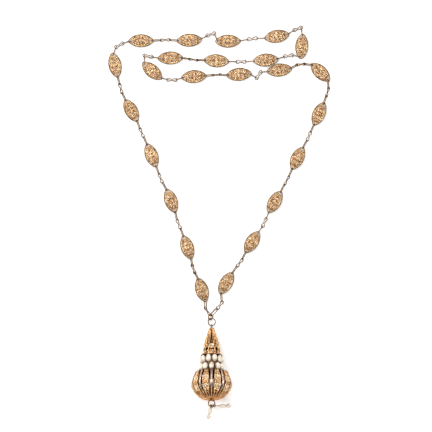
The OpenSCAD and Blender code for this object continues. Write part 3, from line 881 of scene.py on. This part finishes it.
# Columns: main colour, colour of the patches, roughness, and whether the wires are beaded
GOLDS = {
    "plaque filigree": ("filigree", "filigree_shadow", 0.3, True),
    "plaque rim": ("rim", "rim_shadow", 0.34, False),
    # The edge's dark golds are painted shade on the border's outer slope
    "plaque edge": ("edge", "edge_shadow", 0.42, False),
    # The backing's dark golds are painted shade between the wires
    "plaque lugs": ("rim_shadow", "backing", 0.42, False),
    "plaque backing": ("backing", "backing_shadow", 0.5, False),
    "granules": ("granules", "filigree", 0.24, True),
    "pendant wire": ("pendant", "pendant_shadow", 0.28, True),
    "pendant strips": ("strip", "strip_shadow", 0.5, False),
    "pendant rib": ("rib", "rib_shadow", 0.26, False),
    "lower ribs": ("copper", "copper_shadow", 0.3, False),
    # The inner shell's dark golds are painted shade inside the pendant
    "inner shell": ("inner", "inner_shadow", 0.5, False),
    # The gallery's dark gold is painted shade between the pearls
    "gallery": ("gallery", "inner", 0.4, False),
    # The links' dark gold is partly their own tone and partly painted shade for their shadows
    "link wire": ("link", "link_shadow", 0.3, False),
}
# The dark finish is painted shade under the plaques' wires
# The edge finish is painted shade on the plaques' outer edge
PLAQUE_FINISHES = {WIRE: "plaque filigree", BAND: "plaque rim", PAINTED_SHADE: "plaque backing",
                   BRIGHT: "granules", EDGE: "plaque edge", PLATE: "plaque lugs"}
# The dark finish is painted shade inside the pendant
PENDANT_FINISHES = {WIRE: "pendant wire", BAND: "pendant rib", PAINTED_SHADE: "inner shell",
                    COPPER: "lower ribs", BRIGHT: "granules", PLATE: "pendant strips"}


def new_material(name):
    """A new material, its tree and its Principled shader."""
    material = bpy.data.materials.new(name)
    material.use_nodes = True
    tree = material.node_tree
    return material, Net(tree), next(n for n in tree.nodes if n.type == "BSDF_PRINCIPLED")


def noise(net, scale, detail=2.0):
    """A noise in the piece's own coordinates."""
    place = net.add("ShaderNodeTexCoord", out="Object")
    return net.add("ShaderNodeTexNoise", {"Vector": place, "Scale": scale, "Detail": detail})


def patched(net, grain, low, high, main, patch):
    """A colour that turns to its patches' colour where a noise runs from low up to high."""
    share = net.add("ShaderNodeMapRange", {"Value": noise(net, grain), "From Min": low, "From Max": high})
    first_colour, second_colour, mixed_colour = 6, 7, 2
    return net.add("ShaderNodeMix", {
        0: share, first_colour: (*main, 1.0), second_colour: (*patch, 1.0)},
        out=mixed_colour, data_type="RGBA")


def bump(net, height, strength, depth):
    return net.add("ShaderNodeBump", {"Height": height, "Strength": strength, "Distance": depth * MM})


def gold(name, main, patch, roughness, bead_spacing):
    """Gold with patches of tarnish, uneven polish, and beading along its wires if it has a spacing."""
    material, net, shader = new_material(name)
    fine = noise(net, POLISH_GRAIN, 3.0)
    height = fine * 0.5
    if bead_spacing:
        along = net.add("ShaderNodeAttribute", out="Fac", attribute_name="along")
        height = height + (along * (2 * math.pi / bead_spacing)).sine() * 0.5
    tint_share, uneven = 0.4, 0.16
    edge_tint = [tint_share * (a + b) for a, b in zip(main, patch)]
    net.fill(shader, {
        "Base Color": patched(net, TARNISH_GRAIN, 0.40, 0.60, main, patch),
        "Roughness": fine * uneven + (roughness - uneven / 2),
        "Metallic": 1.0, "Specular Tint": (*edge_tint, 1.0),
        "Normal": bump(net, height, strength=0.35, depth=0.08)})
    return material


def pearl_lustre(name, main, patch):
    """A soft lustre over a colour with faint pinkish patches."""
    material, net, shader = new_material(name)
    uneven, smoothest = 0.14, 0.2
    net.fill(shader, {
        "Base Color": patched(net, TINT_GRAIN, 0.42, 0.66, main, patch),
        "Roughness": noise(net, LUSTRE_GRAIN) * uneven + smoothest,
        "Coat Weight": 0.5, "Coat Roughness": 0.15, "Specular IOR Level": 0.6,
        "Normal": bump(net, noise(net, SKIN_GRAIN), strength=0.15, depth=0.06)})
    return material


def get_material(context, name):
    """A material of the necklace, made the first time that it is asked for."""
    if name in bpy.data.materials:
        return bpy.data.materials[name]
    colours = context.scene.sautoir_colours
    if name == "pearl lustre":
        return pearl_lustre(name, colours.pearl, colours.pearl_tint)
    main, patch, roughness, beaded = GOLDS[name]
    return gold(name, getattr(colours, main), getattr(colours, patch), roughness,
                colours.bead_spacing if beaded else 0.0)


def get_materials(context, names):
    return {finish: get_material(context, name) for finish, name in names.items()}


def give_material(context, node, name, sharp=30.0):
    """Gives a CAD node that stays its finish."""
    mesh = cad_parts[node].data
    mesh.materials.clear()
    mesh.materials.append(get_material(context, name))
    mesh.shade_smooth()
    mesh.set_sharp_from_angle(angle=math.radians(sharp))


# Floor, lamps and camera

# Columns: name, place in metres, size in metres and power in watts of each soft lamp
LAMPS = (
    ("left", (-0.95, 0.1, 0.75), 0.6, 5.4),
    ("right", (0.95, 0.1, 0.75), 0.6, 4.6),
    ("back", (0.0, 1.0, 0.75), 0.6, 4.4),
    ("front", (0.0, -1.0, 0.7), 0.5, 3.2),
    ("sparkle", (-0.5, 0.55, 0.9), 0.22, 2.6),
    ("top", (-0.12, 0.16, 1.3), 0.75, 5.0),
)


def lay_floor(stage, reach=4000.0, level=-0.05):
    """A pale floor just under the table's height, which glows a little; reach and level in mm."""
    corners = [(x * reach, y * reach, level) for x, y in ((-1, -1), (1, -1), (1, 1), (-1, 1))]
    mesh = mesh_in_mm("floor", corners, faces=[(0, 1, 2, 3)])
    material, net, shader = new_material("floor")
    net.fill(shader, {
        "Base Color": (*stage.floor, 1.0), "Roughness": 0.7, "Specular IOR Level": 0.2,
        "Emission Color": (1.0, 1.0, 1.0, 1.0), "Emission Strength": stage.floor_glow})
    mesh.materials.append(material)
    floor = new_object("floor", mesh)


def light_sky(scene, stage, white=(1.0, 0.99, 0.98, 1.0)):
    """Even light from all round."""
    scene.world = bpy.data.worlds.new("studio")
    scene.world.use_nodes = True
    tree = scene.world.node_tree
    background = next(node for node in tree.nodes if node.type == "BACKGROUND")
    Net(tree).fill(background, {"Color": white, "Strength": stage.sky})


def hang_lamps(stage):
    """Square lamps that face the middle of the table."""
    for name, place, size, power in LAMPS:
        lamp = bpy.data.lights.new(name, "AREA")
        lamp.shape, lamp.size, lamp.energy = "SQUARE", size, power * stage.light
        item = new_object(name, lamp)
        item.location = place
        item.rotation_euler = (-Vector(place)).to_track_quat("-Z", "Y").to_euler()
        item.visible_camera = False


def set_camera(scene, stage, sensor=36.0):
    """A camera that looks straight down from where the lens takes in the view's width."""
    camera = bpy.data.cameras.new("camera")
    camera.lens, camera.sensor_width = stage.lens, sensor
    camera.clip_start, camera.clip_end = 0.01, 20.0
    scene.camera = new_object("camera", camera)
    distance = stage.view_width * stage.lens / sensor
    scene.camera.location = Vector(stage.aim) + Vector((0, 0, distance))


# Sizes and colours

def measure(name, description, millimetres):
    return FloatProperty(name=name, description=description, default=millimetres * MM,
                         unit="LENGTH", precision=5)


def amount(name, description, default):
    return FloatProperty(name=name, description=description, default=default, min=0.0)


def number(name, description, default, least):
    return IntProperty(name=name, description=description, default=default, min=least)


def spot(name, description, x, y, z):
    return FloatVectorProperty(name=name, description=description, default=(x * MM, y * MM, z * MM),
                               subtype="XYZ", unit="LENGTH")


def colour(name, description, red, green, blue):
    return FloatVectorProperty(name=name, description=description, subtype="COLOR", size=3,
                               default=(red, green, blue), min=0.0, max=1.0)


class SautoirPlaqueSizes(bpy.types.PropertyGroup):
    length: measure("Length", "Length of a plaque over its lugs", 18.4)
    width: measure("Width", "Width of a plaque", 9.4)
    depth: measure("Depth", "Thickness of a plaque over both faces", 3.2)
    lug_radius: measure("Lug Radius", "Radius of the rounded lug", 1.75)
    lug_hole: measure("Lug Hole", "Diameter of the hole in a lug", 1.76)
    lug_thickness: measure("Lug Thickness", "Thickness of the flat lug", 0.6)
    dome_along: measure("Dome Along", "Radius of the dome along the plaque", 47.5)
    dome_across: measure("Dome Across", "Radius of the dome across the plaque", 12.7)
    wire: measure("Filigree Wire", "Radius of the filigree wire", 0.2)
    wire_sides: number("Wire Sides", "Facets round a filigree wire", 5, least=3)
    bead_detail: number("Bead Detail", "Subdivisions of a granule", 2, least=1)


class SautoirPendantSizes(bpy.types.PropertyGroup):
    bulb_diameter: measure("Bulb Diameter", "Diameter of the bulb", 29.6)
    bulb_rise: measure("Bulb Rise", "Height of the bulb above its widest line", 8.8)
    cone_start: measure("Cone Start", "Height of the cone's base above the bulb's middle", 21.52)
    cone_length: measure("Cone Length", "Length of the cone", 20.4)
    cone_base: measure("Cone Base", "Diameter of the cone at the pearls", 13.2)
    cone_tip: measure("Cone Tip", "Diameter of the cone at its tip", 4.0)
    rosette_diameter: measure("Rosette", "Diameter of the bulb's coiled rosettes", 4.3)
    upper_rosette: measure("Upper Rosette", "Height of the upper rosettes above the bulb's middle", 2.0)
    lower_rosette: measure("Lower Rosette", "Height of the lower rosettes above the bulb's middle", -4.6)
    liner_depth: measure("Liner Depth", "Depth of the inner shell under the wires", 0.75)
    wire_sides: number("Wire Sides", "Facets round a pendant's wire", 6, least=3)
    bead_detail: number("Bead Detail", "Subdivisions of a granule", 2, least=1)
    lean: FloatProperty(name="Lean", description="Angle between the pendant's axis and the table",
                        default=math.radians(17.1), subtype="ANGLE")
    bulb_middle: spot("Bulb Middle", "Middle of the bulb on the table", -5.56, -116.27, 14.36)
    pearl_unevenness: measure("Pearl Unevenness", "How uneven the pearls are", 0.5)
    pearl_grain: amount("Pearl Grain", "Number of uneven places along a metre of pearl", 320.0)


class SautoirColours(bpy.types.PropertyGroup):
    filigree: colour("Filigree", "Gold of the plaques' filigree", 1.0, 0.75, 0.47)
    filigree_shadow: colour("Filigree Shadow", "Gold in the filigree's worn patches", 0.46, 0.225, 0.09)
    granules: colour("Granules", "Gold of the bright granules", 1.0, 0.84, 0.60)
    rim: colour("Rim", "Gold of the plaques' border", 0.70, 0.535, 0.35)
    rim_shadow: colour("Rim Shadow", "Dull patches of the border", 0.46, 0.335, 0.21)
    # Painted shade: the dark golds of the plaques' outer edge
    edge: colour("Edge", "Dull gold of the plaques' outer edge", 0.24, 0.15, 0.06)
    edge_shadow: colour("Edge Shadow", "Dark patches of the outer edge", 0.13, 0.078, 0.03)
    # Painted shade: the dark golds of the plaques' walls under the wires
    backing: colour("Backing", "Gold of the plaques' walls under the wires", 0.32, 0.165, 0.072)
    backing_shadow: colour("Backing Shadow", "Dull patches of the walls", 0.17, 0.08, 0.033)
    pendant: colour("Pendant Wire", "Gold of the pendant's wires", 1.0, 0.68, 0.36)
    pendant_shadow: colour("Pendant Shadow", "Gold in the pendant's worn patches", 0.60, 0.28, 0.11)
    strip: colour("Strips", "Gold of the bulb's strips under the rosettes", 0.62, 0.33, 0.125)
    strip_shadow: colour("Strips Shadow", "Dull patches of the strips", 0.32, 0.145, 0.05)
    rib: colour("Rib", "Gold of the bulb's plain ribs", 0.74, 0.555, 0.46)
    rib_shadow: colour("Rib Shadow", "Dull patches of the plain ribs", 0.42, 0.285, 0.22)
    copper: colour("Lower Ribs", "Reddish gold of the bulb's lower ribs", 1.0, 0.59, 0.31)
    copper_shadow: colour("Lower Ribs Shadow", "Dull patches of the lower ribs", 0.58, 0.28, 0.125)
    # Painted shade: the dark gold of the discs and posts between the pearls
    gallery: colour("Gallery", "Dark gold of the discs and posts between the pearls", 0.34, 0.20, 0.13)
    # Painted shade: the darkest golds, inside the pendant under its wires
    inner: colour("Inner Shell", "Dark gold under the wires", 0.16, 0.075, 0.03)
    inner_shadow: colour("Inner Shell Shadow", "Darkest gold under the wires", 0.07, 0.03, 0.012)
    # Partly the links' own tone and partly painted shade for their shadows
    link: colour("Links", "Gold of the wire links", 0.28, 0.148, 0.041)
    link_shadow: colour("Links Shadow", "Dark patches of the links", 0.075, 0.039, 0.011)
    pearl: colour("Pearl", "Colour of the pearls", 0.90, 0.81, 0.68)
    pearl_tint: colour("Pearl Tint", "Pinkish patches of the pearls", 0.60, 0.47, 0.37)
    bead_spacing: measure("Bead Spacing", "Spacing of the beading along the wires", 0.36)


class SautoirStageSettings(bpy.types.PropertyGroup):
    lens: amount("Lens", "Focal length in mm", 400.0)
    view_width: measure("View Width", "Width of the table that the camera takes in", 311.04)
    aim: spot("Aim", "Point of the table under the camera", -2.38, 4.51, 0.0)
    light: amount("Light", "Strength of the soft lamps", 1.06)
    sky: amount("Sky", "Strength of the even light all round", 0.2)
    floor: colour("Floor", "Colour of the floor", 0.95, 0.945, 0.94)
    floor_glow: amount("Floor Glow", "Light of the floor itself", 0.2)


# Operators

class SAUTOIR_OT_plaques(bpy.types.Operator):
    """Make the twenty-four filigree plaques"""
    bl_idname = "sautoir.plaques"
    bl_label = "Plaques"

    def execute(self, context):
        sizes = context.scene.sautoir_plaque
        navette = Navette(sizes)
        helpers = []
        for draw_middle in PATTERNS:
            drawing = Drawing()
            draw_edges(drawing, navette, sizes.wire / MM)
            draw_middle(drawing, sizes.wire / MM)
            helpers.append((lines_object("plaque_lines", drawing.lines),
                            beads_object("plaque_beads", drawing.beads)))
        rim = solids_object("plaque_rim", plaque_rim(navette))
        backing = plaque_backing(navette)
        tree = plaque_tree(get_materials(context, PLAQUE_FINISHES))
        for name, pattern in zip(PLAQUES, PATTERN_ORDER):
            flat, dots = helpers[pattern]
            middle, heading = lying_place(name)
            make_piece(f"{name}_filigree", flat, tree, {
                "Granules": dots, "Rim": rim, "Backing": backing, "Wire Sides": sizes.wire_sides,
                "Bead Detail": sizes.bead_detail, "Depth": sizes.depth,
                "Dome Along": sizes.dome_along, "Dome Across": sizes.dome_across,
                "Heading": heading, "Place": middle}, [name])
        remove_helpers(rim, backing, *(item for pair in helpers for item in pair))
        return {"FINISHED"}


class SAUTOIR_OT_links(bpy.types.Operator):
    """Round the wire of the chain links and the drop links, and finish the rings and pins"""
    bl_idname = "sautoir.links"
    bl_label = "Links and Rings"

    def execute(self, context):
        # The links, rings and pins get a dark gold that is partly painted shade
        tree = round_wire_tree(get_material(context, "link wire"))
        smoothed = {"Levels": 1, "Grow": 0.08 * MM}
        for node in ("chain_links_left", "chain_links_right", "drop_links"):
            helper = link_copy(node)
            make_piece(f"{node}_wire", helper, tree, smoothed, [node])
            remove_helpers(helper)
        for node in ("junction_ring", "hanger_ring", "drop_pins"):
            give_material(context, node, "link wire")
        return {"FINISHED"}


class SAUTOIR_OT_pendant(bpy.types.Operator):
    """Make the pierced bulb and cone, and finish the rod and the gallery"""
    bl_idname = "sautoir.pendant"
    bl_label = "Pendant"

    def execute(self, context):
        sizes = context.scene.sautoir_pendant
        tree = pendant_tree(get_materials(context, PENDANT_FINISHES))
        for node, draw in (("bulb", draw_bulb), ("cone", draw_cone)):
            drawing = draw(sizes)
            wires = lines_object(f"{node}_lines", drawing.lines)
            dots = beads_object(f"{node}_beads", drawing.beads)
            strips = solids_object(f"{node}_strips", drawing.solids)
            shell = liner(node, f"{node}_shell", sizes)
            make_piece(f"{node}_filigree", wires, tree, {
                "Granules": dots, "Strips": strips, "Liner": shell, "Wire Sides": sizes.wire_sides,
                "Bead Detail": sizes.bead_detail, "Lean": pendant_turn(sizes),
                "Place": sizes.bulb_middle}, [node])
            remove_helpers(wires, dots, strips, shell)
        # The rod gets the links' dark gold, partly painted shade
        give_material(context, "spindle", "link wire")
        # The gallery's dark gold is painted shade between the pearls
        give_material(context, "pearl_gallery", "gallery")
        return {"FINISHED"}


class SAUTOIR_OT_pearls(bpy.types.Operator):
    """Make the pearls slightly uneven and give them their lustre"""
    bl_idname = "sautoir.pearls"
    bl_label = "Pearls"

    def execute(self, context):
        sizes = context.scene.sautoir_pendant
        tree = baroque_tree(get_material(context, "pearl lustre"))
        for node in ("upper_pearls", "lower_pearls", "drop_pearls"):
            helper = merged_copy(node, f"{node}_copy")
            make_piece(f"{node}_uneven", helper, tree, {
                "Amount": sizes.pearl_unevenness, "Grain": sizes.pearl_grain}, [node])
            remove_helpers(helper)
        return {"FINISHED"}


class SAUTOIR_OT_stage(bpy.types.Operator):
    """Set the pale floor, the soft lamps and the camera over the table"""
    bl_idname = "sautoir.stage"
    bl_label = "Stage"

    def execute(self, context):
        scene, stage = context.scene, context.scene.sautoir_stage
        lay_floor(stage)
        light_sky(scene, stage)
        hang_lamps(stage)
        set_camera(scene, stage)
        scene.view_settings.view_transform = "Standard"
        return {"FINISHED"}


GROUPS = {"sautoir_plaque": SautoirPlaqueSizes, "sautoir_pendant": SautoirPendantSizes,
          "sautoir_colours": SautoirColours, "sautoir_stage": SautoirStageSettings}
OPERATORS = (SAUTOIR_OT_plaques, SAUTOIR_OT_links, SAUTOIR_OT_pendant, SAUTOIR_OT_pearls,
             SAUTOIR_OT_stage)


class SAUTOIR_PT_panel(bpy.types.Panel):
    """Lists the pieces of the necklace and their sizes"""
    bl_label = "Sautoir Necklace"
    bl_idname = "SAUTOIR_PT_panel"
    bl_space_type = "VIEW_3D"
    bl_region_type = "UI"
    bl_category = "Sautoir"

    def draw(self, context):
        for operator in OPERATORS:
            self.layout.operator(operator.bl_idname)
        for key, title in zip(GROUPS, ("Plaques", "Pendant", "Colours", "Stage")):
            box = self.layout.box()
            box.label(text=title)
            for name in GROUPS[key].__annotations__:
                box.prop(getattr(context.scene, key), name)


def register():
    for name, group in GROUPS.items():
        bpy.utils.register_class(group)
        setattr(bpy.types.Scene, name, PointerProperty(type=group))
    for item in (*OPERATORS, SAUTOIR_PT_panel):
        bpy.utils.register_class(item)


def unregister():
    for item in (SAUTOIR_PT_panel, *reversed(OPERATORS)):
        bpy.utils.unregister_class(item)
    for name, group in reversed(GROUPS.items()):
        delattr(bpy.types.Scene, name)
        bpy.utils.unregister_class(group)


def main():
    register()
    bpy.ops.sautoir.stage()
    bpy.ops.sautoir.plaques()
    bpy.ops.sautoir.links()
    bpy.ops.sautoir.pendant()
    bpy.ops.sautoir.pearls()
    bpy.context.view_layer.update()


if __name__ == "__main__":
    main()
